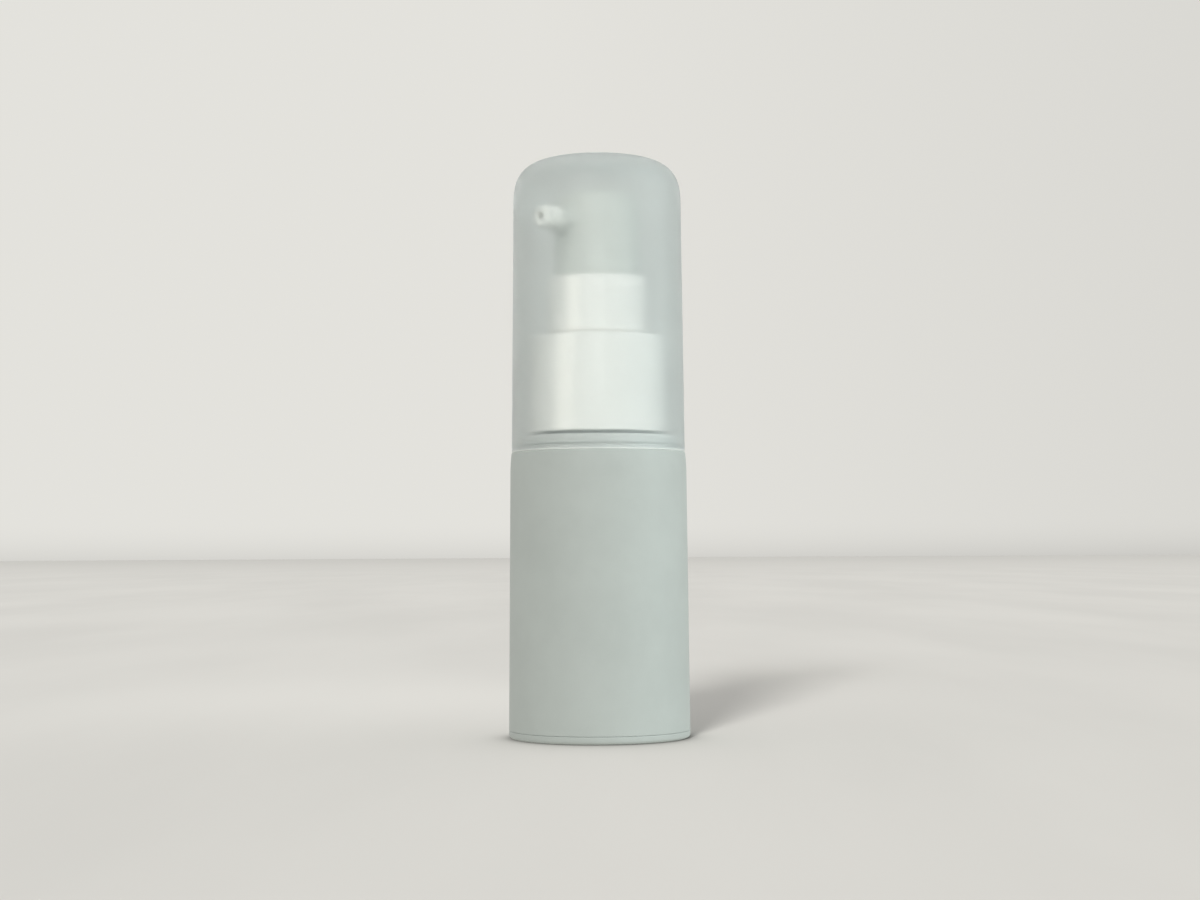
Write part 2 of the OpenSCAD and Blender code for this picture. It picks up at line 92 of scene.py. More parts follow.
# %% Sizes of the collar, the button and the pump
SLEEVE_BORE_R, COLLAR_R, COLLAR_FOOT_R, SLEEVE_Z = 11.72, 12.62, 13.07, 57.9
PLATE_TOP, COLLAR_TOP = 75.4, 76.3
CHIMNEY_R, CHIMNEY_BORE_R, CHIMNEY_TOP = 9.5, 8.6, 87.6
CLOSURE_BORE_R, CLOSURE_R, CLOSURE_Z, HUB_BORE_R, FLANGE_TOP = 10.6, 11.45, 58.3, 6.58, 74.2
GRIP_RIBS, GRIP_RIB_H, GRIP_RIB_W = 18, 0.25, 0.8
THREAD_PITCH, THREAD_TURNS, NECK_THREAD_Z, CLOSURE_THREAD_Z = 2.5, 1.5, 66.4, 65.15
GASKET_BORE_R, GASKET_R, GASKET_TOP = 8.25, 9.5, 73.0

BUTTON_R, BUTTON_WALL, BUTTON_FOOT, BUTTON_TOP = 8.15, 1.1, 82.1, 104.6
BUTTON_DOME_H, BUTTON_POWER, BUTTON_DRAFT = 3.4, 2.5, 0.08
STEM_R, STEM_BORE_R, POST_Z, STEM_TOP = 2.2, 1.2, 84.6, 90.6
POST_R, SPRING_FOOT_R, SPOUT_Z = 3.4, 4.8, 98.4
BARREL_R, BARREL_END, CHANNEL_R = 2.7, 10.25, 1.6
NOZZLE_R, NOZZLE_ROUND, ORIFICE_R = 2.2, 0.7, 0.75
NOZZLE_FOOT, NOZZLE_SHANK_R = 7.25, 1.58
NOZZLE_REACH = cap_r(SPOUT_Z) - CAP_WALL - 0.8

SPRING_MEAN_R, WIRE_R, SPRING_TURNS = 4.1, 0.3, 5
SPRING_LOW, SPRING_HIGH = 76.85, 84.25
print(f"nozzle reaches {NOZZLE_REACH:.2f} mm from the axis")

# %% [markdown]
# ## Writing node trees as sums
#
# A node tree is a formula drawn with boxes. Here a small class wraps a socket, so that `a * b + 1`
# adds the Math nodes itself. The same class serves shaders and Geometry Nodes. Any other node
# comes from one method, which takes its type, its settings and its sockets.


# %% Numbers and trees
class Num:
    """A number in a node tree. Sums on it add Math nodes."""

    def __init__(self, tree, socket):
        self.tree, self.socket = tree, socket

    def __add__(self, other):
        return self.tree.math("ADD", self, other)

    def __radd__(self, other):
        return self.tree.math("ADD", other, self)

    def __sub__(self, other):
        return self.tree.math("SUBTRACT", self, other)

    def __rsub__(self, other):
        return self.tree.math("SUBTRACT", other, self)

    def __mul__(self, other):
        return self.tree.math("MULTIPLY", self, other)

    def __rmul__(self, other):
        return self.tree.math("MULTIPLY", other, self)

    def __truediv__(self, other):
        return self.tree.math("DIVIDE", self, other)

    def __rtruediv__(self, other):
        return self.tree.math("DIVIDE", other, self)

    def __pow__(self, other):
        return self.tree.math("POWER", self, other)


class Tree:
    """A node tree with one way to add a node, and short names for the usual ones."""

    def __init__(self, nodes):
        self.nodes = nodes

    def add(self, kind, settings=None, sockets=None):
        node = self.nodes.nodes.new(kind)
        for name, value in (settings or {}).items():
            if name == "stops":
                ramp = node.color_ramp
                while len(ramp.elements) < len(value):
                    ramp.elements.new(1.0)
                for element, (place, shade) in zip(ramp.elements, value):
                    element.position, element.color = place, shade
            else:
                setattr(node, name, value)
        for name, value in (sockets or {}).items():
            value = value.socket if isinstance(value, Num) else value
            if isinstance(value, bpy.types.NodeSocket):
                self.nodes.links.new(value, node.inputs[name])
            else:
                node.inputs[name].default_value = value
        return node

    def math(self, operation, *values):
        node = self.add("ShaderNodeMath", {"operation": operation}, dict(enumerate(values)))
        return Num(self, node.outputs[0])

    def smooth(self, value, low, high):
        """0 below low, 1 above high, and a soft step between."""
        node = self.add("ShaderNodeMapRange", {"interpolation_type": "SMOOTHSTEP"},
                        {"Value": value, "From Min": low, "From Max": high})
        return Num(self, node.outputs["Result"])

    def apart(self, vector):
        """The three numbers of a vector."""
        node = self.add("ShaderNodeSeparateXYZ", sockets={0: vector})
        return [Num(self, out) for out in node.outputs]

    def together(self, x, y, z):
        return self.add("ShaderNodeCombineXYZ", sockets={0: x, 1: y, 2: z}).outputs[0]

    def mix(self, factor, low, high):
        """A colour between two colours."""
        node = self.add("ShaderNodeMix", {"data_type": "RGBA"}, {0: factor, 6: low, 7: high})
        return node.outputs[2]

    def noise(self, where, size_mm, detail, rough=0.5):
        """Soft random patches of about this size."""
        node = self.add("ShaderNodeTexNoise", sockets={
            "Vector": where, "Scale": 1 / (size_mm * MM), "Detail": detail, "Roughness": rough})
        return Num(self, node.outputs["Fac"])


print("trees ready")

# %% [markdown]
# ## Turning an outline
#
# A moulded edge is never sharp. `rounded` takes corners as (radius, height, rounding) and turns
# each one into an arc, with one more point just before and after it. Those support points keep the
# smooth shading of the arc from spreading over the flat wall beside it. `dome_points` gives a
# dome's outline, with its points crowded where it turns from side to crown.
#
# `lathe` turns the closed outline about the axis. A point on the axis becomes one pole vertex, so
# no hole is left there.


# %% Outlines and the lathe
SEGMENTS = 160
SUPPORT = 0.06
CROWD = 1.35


def rounded(corners, steps=5):
    """Turns corners (x, y, rounding) into points, with an arc at each corner."""
    points = []
    for i, (x, y, rounding) in enumerate(corners):
        before, after = corners[i - 1], corners[(i + 1) % len(corners)]
        here = Vector((x, y))
        back, ahead = Vector(before[:2]) - here, Vector(after[:2]) - here
        if rounding == 0:
            points.append((x, y))
            continue
        room = min(back.length * (0.49 if before[2] else 0.96),
                   ahead.length * (0.49 if after[2] else 0.96))
        back, ahead = back.normalized(), ahead.normalized()
        half = back.angle(ahead) / 2
        reach = min(rounding / math.tan(half), room)
        centre = here + (back + ahead).normalized() * (reach / math.cos(half))
        first, last = here + back * reach, here + ahead * reach
        start = math.atan2(*(first - centre).yx)
        turn = (math.atan2(*(last - centre).yx) - start + math.pi) % (2 * math.pi) - math.pi
        size = (first - centre).length
        if reach + SUPPORT < room:
            points.append(tuple(here + back * (reach + SUPPORT)))
        for k in range(steps + 1):
            angle = start + turn * k / steps
            points.append((centre.x + size * math.cos(angle), centre.y + size * math.sin(angle)))
        if reach + SUPPORT < room:
            points.append(tuple(here + ahead * (reach + SUPPORT)))
    return points


def dome_points(z, a, b, power, steps):
    """A squared ellipse's quarter from its side up to its crown, closest where it turns."""
    points = []
    for k in range(steps + 1):
        u = 2 * k / steps - 1
        angle = math.pi / 4 * (1 + math.copysign(abs(u) ** CROWD, u))
        cosine, sine = math.cos(angle), math.sin(angle)
        size = (abs(cosine) ** power + sine ** power) ** (-1 / power)
        points.append((0.0 if k == steps else a * cosine * size, z + b * sine * size))
    return points


def finish_mesh(obj, material, sharp=35):
    """Smooth shading with hard edges only where the surface really turns."""
    obj.data.shade_smooth()
    obj.data.set_sharp_from_angle(angle=math.radians(sharp))
    obj.data.materials.clear()
    obj.data.materials.append(material)
    return obj


def new_object(name, data):
    """An object in the scene, at the origin."""
    obj = bpy.data.objects.new(name, data)
    bpy.context.scene.collection.objects.link(obj)
    return obj


def from_bmesh(name, bm):
    """A new object with the bmesh as its mesh."""
    mesh = bpy.data.meshes.new(name)
    bm.to_mesh(mesh)
    bm.free()
    return new_object(name, mesh)


def face_outwards(mesh, merge=0.0):
    """Turns all faces outwards, after merging the points that lie on each other."""
    bm = bmesh.new()
    bm.from_mesh(mesh)
    if merge:
        bmesh.ops.remove_doubles(bm, verts=bm.verts, dist=merge)
    bmesh.ops.recalc_face_normals(bm, faces=bm.faces)
    bm.to_mesh(mesh)
    bm.free()


def lathe(name, points, material=None, segments=SEGMENTS, along="z", height=0.0):
    """Turns an outline of (radius, height) in mm about the Z axis, or about -Y at a height."""
    bm = bmesh.new()
    rings = []
    for r, z in points:
        count = 1 if abs(r) < 1e-6 else segments
        rings.append([bm.verts.new((r * MM * math.cos(2 * math.pi * k / segments),
                                    r * MM * math.sin(2 * math.pi * k / segments), z * MM))
                      for k in range(count)])
    for low, high in zip(rings, rings[1:] + rings[:1]):
        for k in range(segments):
            corners = [low[k % len(low)], low[(k + 1) % len(low)],
                       high[(k + 1) % len(high)], high[k % len(high)]]
            corners = list(dict.fromkeys(corners))
            if len(corners) > 2:
                bm.faces.new(corners)
    bmesh.ops.recalc_face_normals(bm, faces=bm.faces)
    if along == "-y":
        turn = Matrix.Translation((0, 0, height * MM)) @ Matrix.Rotation(math.pi / 2, 4, "X")
        bm.transform(turn)
    obj = from_bmesh(name, bm)
    if material:
        finish_mesh(obj, material)
    return obj


print("lathe ready:", len(rounded([(0, 0, 0), (4, 0, 1), (4, 4, 1)])), "points in a test outline")

# %% [markdown]
# ## Geometry Nodes that follow a rule
#
# The over-cap, the screw threads and the spring each follow a rule, so Geometry Nodes make them: a
# flat grid of points is moved to where a formula says, its seams and poles are merged, and it gets
# its material. What repeats, such as ribs and pips, is one small block placed on points.
#
# The tree has named inputs for its sizes. The result is taken as a plain mesh, because the export
# keeps no live instances.


# %% Formula surfaces and rings of copies
SAME_PLACE = 2e-6


class Grower(Tree):
    """A Geometry Nodes tree with named sizes, turned into a plain mesh."""

    def __init__(self, name):
        super().__init__(bpy.data.node_groups.new(name, "GeometryNodeTree"))
        self.name, self.values = name, {}
        self.nodes.interface.new_socket("Geometry", in_out="OUTPUT",
                                        socket_type="NodeSocketGeometry")
        self.entry = self.nodes.nodes.new("NodeGroupInput")

    def size(self, name, value):
        """A named input of the tree, and its value here."""
        socket = self.nodes.interface.new_socket(name, in_out="INPUT",
                                                 socket_type="NodeSocketFloat")
        self.values[socket.identifier] = value
        return Num(self, self.entry.outputs[name])

    def grow(self, geometry, material, merge=True):
        """Ends the tree, evaluates it once and returns the plain object."""
        if merge:
            geometry = self.add("GeometryNodeMergeByDistance",
                                sockets={"Geometry": geometry,
                                         "Distance": SAME_PLACE}).outputs[0]
        geometry = self.add("GeometryNodeRealizeInstances",
                            sockets={"Geometry": geometry}).outputs[0]
        geometry = self.add("GeometryNodeSetMaterial",
                            sockets={"Geometry": geometry, "Material": material}).outputs[0]
        self.add("NodeGroupOutput", sockets={"Geometry": geometry})
        obj = new_object(self.name, bpy.data.meshes.new(self.name))
        modifier = obj.modifiers.new(self.name, "NODES")
        modifier.node_group = self.nodes
        for identifier, value in self.values.items():
            modifier[identifier] = value
        plain(obj)
        face_outwards(obj.data)
        return finish_mesh(obj, material)

    def sheet(self, columns, rows):
        """A grid of points, and its two coordinates from 0 to 1."""
        grid = self.add("GeometryNodeMeshGrid", sockets={
            "Size X": 1.0, "Size Y": 1.0, "Vertices X": columns + 1, "Vertices Y": rows + 1})
        x, y, _ = self.apart(self.add("GeometryNodeInputPosition").outputs[0])
        return grid.outputs["Mesh"], x + 0.5, y + 0.5

    def placed(self, geometry, x, y, z):
        """Moves the points to a place in mm."""
        place = self.together(x * MM, y * MM, z * MM)
        return self.add("GeometryNodeSetPosition",
                        sockets={"Geometry": geometry, "Position": place}).outputs[0]


def plain(obj):
    """Applies all modifiers of an object, by taking its evaluated mesh."""
    graph = bpy.context.evaluated_depsgraph_get()
    mesh = bpy.data.meshes.new_from_object(obj.evaluated_get(graph), depsgraph=graph)
    obj.modifiers.clear()
    obj.data = mesh
    return obj


FLAT_PITCH = 4.04


def coil(name, material, radius, low, high, turns, wide, tall, grid, flat_ends=0.0,
         square=1.0, taper=0.02):
    """A rod swept along a helix: a spring with flat ends, or a thread with tapered ends."""
    tree = Grower(name)
    radius, low, high = (tree.size(*pair) for pair in
                         (("Radius", radius), ("Low", low), ("High", high)))
    turns, wide, tall = (tree.size(*pair) for pair in
                         (("Turns", turns), ("Width", wide), ("Tallness", tall)))
    mesh, along, around = tree.sheet(*grid)
    angle = along * turns * (2 * math.pi)
    ring = around * (2 * math.pi)
    end = tree.math("MINIMUM", tree.math("MINIMUM", along, 1.0 - along) / taper, 1.0)
    end = tree.math("SQRT", tree.math("MAXIMUM", end * (2.0 - end), 0.0))
    cosine, sine = tree.math("COSINE", ring), tree.math("SINE", ring)
    flat = (tree.math("ABSOLUTE", cosine) ** (2 * square)
            + tree.math("ABSOLUTE", sine) ** (2 * square)) ** (-0.5 / square)
    r = radius + wide * end * cosine * flat
    rise = tree.math("MINIMUM", tree.math("MAXIMUM",
                     (along - flat_ends) / (1 - 2 * flat_ends), 0.0), 1.0)
    settle = 0.0
    if flat_ends:
        near = tree.math("MINIMUM", along, flat_ends)
        far = tree.math("MAXIMUM", along - (1 - flat_ends), 0.0)
        settle = (near + far) * wide * FLAT_PITCH
        rise = rise * (high - low - wide * (flat_ends * 2 * FLAT_PITCH))
    else:
        rise = rise * (high - low)
    z = low + rise + settle + tall * end * sine * flat
    placed = tree.placed(mesh, r * tree.math("COSINE", angle), r * tree.math("SINE", angle), z)
    return tree.grow(placed, material)


def ring_of_copies(name, pattern, material, count, start=0.0):
    """Copies of one block, turned about the axis in even steps."""
    tree = Grower(name)
    count = tree.size("Count", count)
    start = tree.size("Start", start)
    shape = tree.add("GeometryNodeObjectInfo", sockets={"Object": pattern}).outputs["Geometry"]
    points = tree.add("GeometryNodePoints", sockets={"Count": count}).outputs[0]
    index = Num(tree, tree.add("GeometryNodeInputIndex").outputs[0])
    turn = tree.together(0.0, 0.0, start + index * (2 * math.pi) / count)
    copies = tree.add("GeometryNodeInstanceOnPoints", sockets={
        "Points": points, "Instance": shape, "Rotation": turn}).outputs[0]
    obj = tree.grow(copies, material, merge=False)
    bpy.data.objects.remove(pattern)
    return obj


def block(name, low, high, edge=0.08):
    """A small box between two corners in mm, with rounded edges."""
    bm = bmesh.new()
    bmesh.ops.create_cube(bm, size=1.0)
    middle = [(a + b) / 2 for a, b in zip(low, high)]
    bm.transform(Matrix.Translation([m * MM for m in middle])
                 @ Matrix.Diagonal([(b - a) * MM for a, b in zip(low, high)] + [1.0]))
    bmesh.ops.bevel(bm, geom=list(bm.edges), offset=edge * MM, segments=3, profile=0.5,
                    affect="EDGES")
    return from_bmesh(name, bm)


def place(obj, body, slot, *nodes):
    """Says what a finished piece rides on and the nodes it stands for; its finish (slot) is not
    used.
    """
    obj.name = obj.data.name = obj.name.replace(" ", "_")
    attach(obj, body)
    if nodes:
        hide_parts(*nodes)
    faces = sum(len(p.vertices) - 2 for p in obj.data.polygons)
    print(f"{obj.name}: {faces} triangles on {body}")
    return obj


# %% [markdown]
# ## Finishes
#
# The bottle and button are sage polypropylene from a spark-eroded mould: a fine even grain that
# spreads the highlight, and a cloudiness in the colour too faint to name but missed when it isn't
# there. Every pattern reads Object coordinates in metres, so a scale of 4000 is a grain of a
# quarter of a millimetre. The seat band above the shoulder is painted a paler tone: painted light,
# for the light that the cap's wall brings down to it.


# %% Moulded plastic
PP_IOR = 1.49


def emptied(holder):
    """The node tree of a material or a world, with nothing in it yet."""
    holder.use_nodes = True
    holder.node_tree.nodes.clear()
    return Tree(holder.node_tree)


def new_material(name):
    """A material, its empty tree, and where each point of a piece is."""
    material = bpy.data.materials.new(name)
    tree = emptied(material)
    return material, tree, tree.add("ShaderNodeTexCoord").outputs["Object"]


def moulded(name, colour, roughness, grain_mm, grain_depth, cloud=0.03, gloss=0.5, soft=0.0,
            painted_light=None):
    """Opaque or milky plastic: moulded grain, faint clouds and uneven gloss, and an optional paler
    band of painted light above a height.
    """
    material, tree, where = new_material(name)
    clouds = tree.noise(where, 14.0, 3.0)
    patches = tree.noise(where, 3.1, 2.0)
    grain = tree.noise(where, grain_mm, 2.0, 0.6)
    pits = tree.noise(where, grain_mm * 3.3, 1.0)
    shade = tree.smooth(clouds * 0.7 + patches * 0.3, 0.3, 0.7)
    dark = [c * (1 - cloud) for c in colour] + [1.0]
    light = [min(c * (1 + cloud), 0.92) for c in colour] + [1.0]
    tint = tree.mix(shade, dark, light)
    speck = tree.smooth(grain, 0.35, 0.65)
    tint = tree.mix(speck * 0.035, tint, [c * 0.72 for c in colour] + [1.0])
    # Painted light: above the given height the colour turns to a paler tone, for light the cap's
    # wall brings down.
    if painted_light:
        above, tone = painted_light
        band = tree.smooth(tree.apart(where)[2], above * MM, (above + 0.1) * MM)
        tint = tree.mix(band, tint, [*tone, 1.0])
    rough = roughness + (patches - 0.5) * 0.10 + (grain - 0.5) * 0.08
    height = grain * 0.7 + pits * 0.3
    bump = tree.add("ShaderNodeBump", sockets={
        "Strength": 1.0, "Distance": grain_depth * MM, "Height": height}).outputs[0]
    shader = tree.add("ShaderNodeBsdfPrincipled", {"subsurface_method": "BURLEY"}, {
        "Base Color": tint, "Roughness": rough, "Normal": bump, "IOR": PP_IOR,
        "Specular IOR Level": gloss, "Subsurface Weight": soft, "Subsurface Scale": 0.6 * MM,
        "Subsurface Radius": (1.0, 1.0, 0.9)})
    tree.add("ShaderNodeOutputMaterial", sockets={"Surface": shader.outputs[0]})
    return material


SAGE, SAGE_HEAD = (0.462, 0.502, 0.476), (0.58, 0.595, 0.565)
# The seat band's paler tone is painted light, not a colour of the plastic.
WHITE, SEAT_PAINTED_LIGHT = (0.885, 0.87, 0.845), (0.615, 0.62, 0.60)

sage_bottle = moulded("sage_bottle", SAGE, 0.52, 0.24, 0.010, gloss=0.42,
                      painted_light=(SHOULDER_Z + 0.05, SEAT_PAINTED_LIGHT))
sage_button = moulded("sage_button", SAGE_HEAD, 0.45, 0.20, 0.008, gloss=0.45)
white_sleeve = moulded("white_sleeve", WHITE, 0.34, 0.9, 0.004, cloud=0.015, gloss=0.5)
white_moulding = moulded("white_moulding", (0.80, 0.82, 0.79), 0.42, 0.5, 0.006)
nozzle_white = moulded("nozzle_white", (0.84, 0.84, 0.81), 0.42, 0.5, 0.004, soft=0.7)
natural_pe = moulded("natural_pe", (0.74, 0.75, 0.71), 0.38, 0.6, 0.006, soft=0.3)
gasket_pe = moulded("gasket_pe", (0.76, 0.77, 0.76), 0.75, 0.18, 0.05, cloud=0.05, gloss=0.3)
print("moulded finishes:", ", ".join(finish.name for finish in (
    sage_bottle, sage_button, white_sleeve, white_moulding, nozzle_white, natural_pe, gasket_pe)))

# %% [markdown]
# The spring and the valve's ball are drawn and ground stainless steel. The wire was pulled through
# a die, which leaves fine lines along it: the noise is squeezed along the height, so that it shows
# as short scratches round the coil.


# %% Steel
LINE_MM = 1 / 0.9


def steel(name, stretch):
    """Bright stainless steel with fine drawn lines."""
    material, tree, where = new_material(name)
    drawn = tree.add("ShaderNodeMapping", sockets={"Vector": where, "Scale": stretch}).outputs[0]
    lines = tree.noise(drawn, LINE_MM, 4.0, 0.6)
    tint = tree.mix(tree.smooth(lines, 0.3, 0.7), (0.56, 0.56, 0.55, 1), (0.66, 0.66, 0.65, 1))
    bump = tree.add("ShaderNodeBump", sockets={
        "Strength": 1.0, "Distance": 0.002 * MM, "Height": lines}).outputs[0]
    shader = tree.add("ShaderNodeBsdfPrincipled", sockets={
        "Base Color": tint, "Metallic": 1.0, "Roughness": 0.22 + (lines - 0.5) * 0.2,
        "Normal": bump})
    tree.add("ShaderNodeOutputMaterial", sockets={"Surface": shader.outputs[0]})
    return material


spring_steel = steel("spring_steel", (1.0, 1.0, 9.0))
print("steel ready")

# %% [markdown]
# The over-cap is frosted: clear polypropylene with a spark-eroded skin inside and out. Light goes
# through it but is scattered by a few degrees, so a thing close behind it is nearly sharp and a
# thing further off melts away. A rough transmission shader does just that, because the blur it
# gives grows with distance. A little milk is mixed in, which is the haze of the plastic itself.
# The skin is a shade rougher towards the dome, and the cut edge at the rim is painted milkier and
# paler, a painted highlight: it is the bright line on the bottle's shoulder.
#
# A lamp can't shine through rough glass in one step, so for shadow rays the wall is a plain tinted
# filter instead, and the inside is lit as it should be.
#
# The roughness stays above 0.28 all over. Below about that value the denoiser looks through the
# wall, above it at the wall, and a skin that crosses it shows a line there.


# %% Frosted plastic
RIM_FROM, RIM_TO = SHOULDER_Z + 0.2, SHOULDER_Z + 0.45
ROUGHER_FROM, ROUGHER_TO = 80, 96
MILK_DARK, MILK_LIGHT = (0.65, 0.74, 0.73, 1), (0.69, 0.78, 0.77, 1)
# The rim's white milk is a painted highlight.
RIM_PAINTED_HIGHLIGHT = (0.88, 0.91, 0.88, 1)


def frosted(name, tint, roughness, haze, filter_tint):
    """Translucent plastic with a fine frosted skin."""
    material, tree, where = new_material(name)
    clouds, grain = tree.noise(where, 9.0, 3.0), tree.noise(where, 0.14, 2.0)
    height = tree.apart(where)[2]
    # Painted highlight: below this height the rim is whiter and milkier.
    rim = 1.0 - tree.smooth(height, RIM_FROM * MM, RIM_TO * MM)
    up = tree.smooth(height, ROUGHER_FROM * MM, ROUGHER_TO * MM)
    colour = tree.mix(tree.smooth(clouds, 0.35, 0.65), [c * 0.985 for c in tint] + [1.0],
                      [min(c * 1.01, 1.0) for c in tint] + [1.0])
    bump = tree.add("ShaderNodeBump", sockets={
        "Strength": 1.0, "Distance": 0.0006 * MM, "Height": grain}).outputs[0]
    clear = tree.add("ShaderNodeBsdfPrincipled", sockets={
        "Base Color": colour, "Roughness": roughness + up * 0.07 + (grain - 0.5) * 0.02,
        "Normal": bump, "Transmission Weight": 1.0, "IOR": 1.2, "Specular IOR Level": 0.5})
    milky = tree.mix(clouds, MILK_DARK, MILK_LIGHT)
    milk = tree.add("ShaderNodeBsdfPrincipled", sockets={
        "Base Color": tree.mix(rim, milky, RIM_PAINTED_HIGHLIGHT),
        "Roughness": 0.55, "Normal": bump, "IOR": PP_IOR})
    share = haze - up * 0.02 + (clouds - 0.5) * 0.02 + rim * 0.45
    wall = tree.add("ShaderNodeMixShader", sockets={
        0: share, 1: clear.outputs[0], 2: milk.outputs[0]}).outputs[0]
    through = tree.add("ShaderNodeBsdfTransparent", sockets={"Color": filter_tint}).outputs[0]
    is_shadow = tree.add("ShaderNodeLightPath").outputs["Is Shadow Ray"]
    both = tree.add("ShaderNodeMixShader", sockets={0: is_shadow, 1: wall, 2: through}).outputs[0]
    tree.add("ShaderNodeOutputMaterial", sockets={"Surface": both})
    return material


frosted_cap = frosted("frosted_cap", (0.795, 0.80, 0.795), 0.30, 0.165, (0.945, 0.945, 0.935, 1))
print("frosted finish ready")

# %% [markdown]
# ## Bottle
#
# The bottle is one moulding: a drafted wall, a shoulder that the cap's edge meets, a stepped seat
# band with a bead for the cap's pips, and the neck. Its side curves in a little under the shoulder,
# which the photograph shows as a soft tone there. The outline is walked once round the wall.

# %% Bottle body and its neck thread
EASE_STEPS, EASE_END = 10, 0.5
eased = []
for step in range(EASE_STEPS + 1):
    t = step / EASE_STEPS
    z = SHOULDER_Z - EASE_H + t * (EASE_H - EASE_END)
    share = t * (EASE_H - EASE_END) / EASE_H
    eased.append((body_r(z) - SHOULDER_EASE * share ** 2, z, 0))

bottle = lathe("bottle_wall", rounded([
    (BORE_R, BASE_T, 0.1), (body_r(BASE_T), BASE_T, 0.06), *eased,
    (body_r(SHOULDER_Z) - SHOULDER_EASE, SHOULDER_Z, EDGE_ROUND),
    (SEAT_R - SEAT_GROOVE, SHOULDER_Z, 0.1), (SEAT_R - SEAT_GROOVE, SEAT_BEAD_Z - 0.3, 0.08),
    (SEAT_R, SEAT_BEAD_Z, 0.12), (SEAT_R, SEAT_TOP, 0.5), (NECK_R, SEAT_TOP, 0.3),
    (NECK_R, NECK_TOP, 0.4), (NECK_BORE_R, NECK_TOP, 0.15), (NECK_BORE_R, SEAT_HOLLOW_TOP, 0.1),
    (SEAT_HOLLOW_R, SEAT_HOLLOW_TOP, 0.4), (SEAT_HOLLOW_R, BORE_TOP, 0.1),
    (BORE_R, BORE_TOP, 0.5), (BORE_R, SNAP_Z + 0.7, 0.1), (BORE_R + SNAP_H, SNAP_Z + 0.35, 0.1),
    (BORE_R + SNAP_H, SNAP_Z - 0.35, 0.1), (BORE_R, SNAP_Z - 0.7, 0.1)]), sage_bottle)
place(bottle, "bottle", "sage_bottle", "bottle_body")

THREAD_ROOT, THREAD_RISE = 0.05, THREAD_PITCH * THREAD_TURNS
THREAD_FORM = {"grid": (220, 20), "square": 1.3, "taper": 0.1}
neck_thread = coil("neck thread", sage_bottle, NECK_R - THREAD_ROOT, NECK_THREAD_Z,
                   NECK_THREAD_Z + THREAD_RISE, THREAD_TURNS, 0.75, 0.55, **THREAD_FORM)
place(neck_thread, "bottle", "sage_bottle")

# %% [markdown]
# The base is a separate disc pressed into the bottle's bore. From outside only its rim shows, as a
# thin seam line with a rounded foot below it. Underneath it has a shallow hollow with a vent hole,
# and inside it six ribs between the hub and the skirt.

# %% Base cap
rim_r = body_r(BASE_T)
hollow_r = rim_r - FOOT_ROUND - FOOT_RING
hub_r, hub_top, skirt_in = VENT_R + 1.2, 3.66, SKIRT_R - SKIRT_WALL
BASE_RIBS, BASE_RIB_W, BASE_RIB_TOP, SINK = 6, 0.9, 3.29, 0.3
base = lathe("base_disc", rounded([
    (VENT_R, FOOT_HOLLOW, 0.1), (hollow_r, FOOT_HOLLOW, 0.3), (hollow_r + FOOT_HOLLOW, 0.0, 0.3),
    (rim_r, 0.0, FOOT_ROUND), (rim_r, BASE_T, 0.25), (SKIRT_R, BASE_T, 0),
    (SKIRT_R, SNAP_Z - 0.45, 0.05), (SKIRT_R + SNAP_H, SNAP_Z - 0.2, 0.05),
    (SKIRT_R + SNAP_H, SNAP_Z + 0.2, 0.05), (SKIRT_R, SNAP_Z + 0.45, 0.05),
    (SKIRT_R, SKIRT_TOP, 0.4), (skirt_in, SKIRT_TOP, 0.2), (skirt_in, BASE_T, 0.3),
    (hub_r, BASE_T, 0.3), (hub_r, hub_top, 0.25), (VENT_R, hub_top, 0.12)]), sage_bottle)
place(base, "bottle", "sage_bottle", "base_cap")

rib = block("base rib", (hub_r - SINK, -BASE_RIB_W / 2, BASE_T - 0.1),
            (skirt_in + SINK, BASE_RIB_W / 2, BASE_RIB_TOP))
base_ribs = ring_of_copies("base ribs", rib, sage_bottle, BASE_RIBS)
place(base_ribs, "bottle", "sage_bottle")

# %% [markdown]
# ## Collar and closure
#
# The white sleeve is one satin moulding in two steps, a wide collar and a narrow chimney in which
# the button runs. It is pressed over the screw closure, whose small ribs keep it from turning. The
# rim of the chimney is fully rounded, and the foot of the collar is a crisp small edge that throws
# the dark line seen above the seat band. A small groove runs round the foot of the chimney, which
# is the fine dark line on the ledge.

# %% Collar sleeve, screw closure and gasket
LEDGE_GROOVE, LEDGE_GROOVE_H = 0.6, 0.7
sleeve = lathe("collar_shell", rounded([
    (SLEEVE_BORE_R, SLEEVE_Z, 0.12), (COLLAR_FOOT_R, SLEEVE_Z, 0.25), (COLLAR_R, COLLAR_TOP, 0.45),
    (CHIMNEY_R - LEDGE_GROOVE, COLLAR_TOP, 0.05),
    (CHIMNEY_R - LEDGE_GROOVE, COLLAR_TOP + LEDGE_GROOVE_H, 0.05),
    (CHIMNEY_R, COLLAR_TOP + LEDGE_GROOVE_H, 0.05), (CHIMNEY_R, CHIMNEY_TOP, 0.44),
    (CHIMNEY_BORE_R, CHIMNEY_TOP, 0.44), (CHIMNEY_BORE_R, PLATE_TOP, 0.2),
    (SLEEVE_BORE_R, PLATE_TOP, 0.3)], steps=7), white_sleeve)
place(sleeve, "closure", "white_sleeve", "collar_sleeve")

closure = lathe("closure_ring", rounded([
    (CLOSURE_BORE_R, CLOSURE_Z, 0.25), (CLOSURE_R, CLOSURE_Z, 0.15), (CLOSURE_R, PLATE_TOP, 0.4),
    (HUB_BORE_R, PLATE_TOP, 0.15), (HUB_BORE_R, FLANGE_TOP, 0.15),
    (CLOSURE_BORE_R, FLANGE_TOP, 0.2)]), white_moulding)
place(closure, "closure", "white_moulding", "screw_closure")

